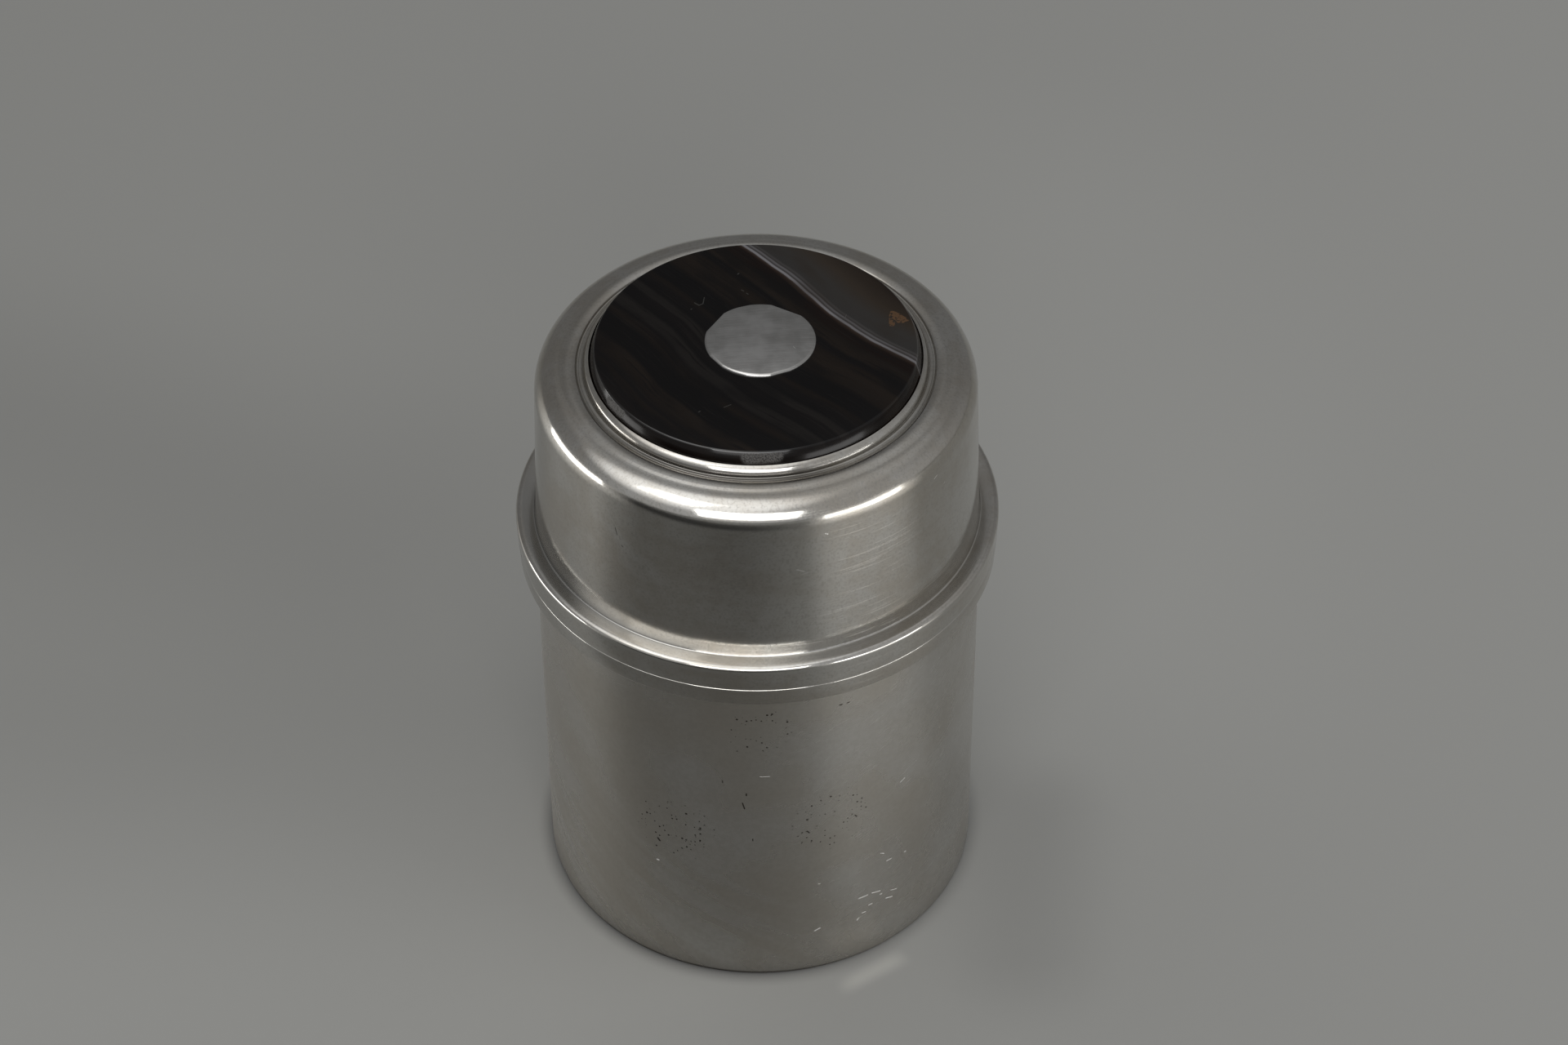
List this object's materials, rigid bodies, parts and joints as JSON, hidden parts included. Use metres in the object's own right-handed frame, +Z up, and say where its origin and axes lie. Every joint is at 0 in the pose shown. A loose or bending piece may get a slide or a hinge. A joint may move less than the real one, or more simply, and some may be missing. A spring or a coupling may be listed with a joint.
{
  "type": "lidded box",
  "caption": "Round pewter box on a flat foot, with a lift-off domed lid seated on a rim ring; the crown holds a dark agate disc with a small pewter stud.",
  "frame": {"origin": "centre of the foot ring, on the surface the box stands on", "axes": "+Z up along the axis of the box, +X to the right and +Y away in the front view"},
  "size_m": [0.088, 0.088, 0.1221],
  "materials": {
    "pewter": "satin, fine turning marks",
    "inner_pewter": "dull, as spun",
    "agate": "polished, banded",
    "cement": "matt"
  },
  "bodies": {
    "box_body": {"body_wall": "pewter", "base_disc": "inner_pewter", "rim_ring": "pewter", "neck_sleeve": "inner_pewter"},
    "lid": {"lid_shell": "pewter", "lid_flange": "pewter", "bezel_ring": "pewter", "cement_bed": "cement", "agate_disc": "agate", "centre_stud": "pewter", "stud_washer": "inner_pewter"}
  },
  "joints": [
    {"name": "lid_lift", "type": "slide", "parent": "box_body", "child": "lid", "axis": [0, 0, 1], "range_m": [0, 0.04]}
  ]
}
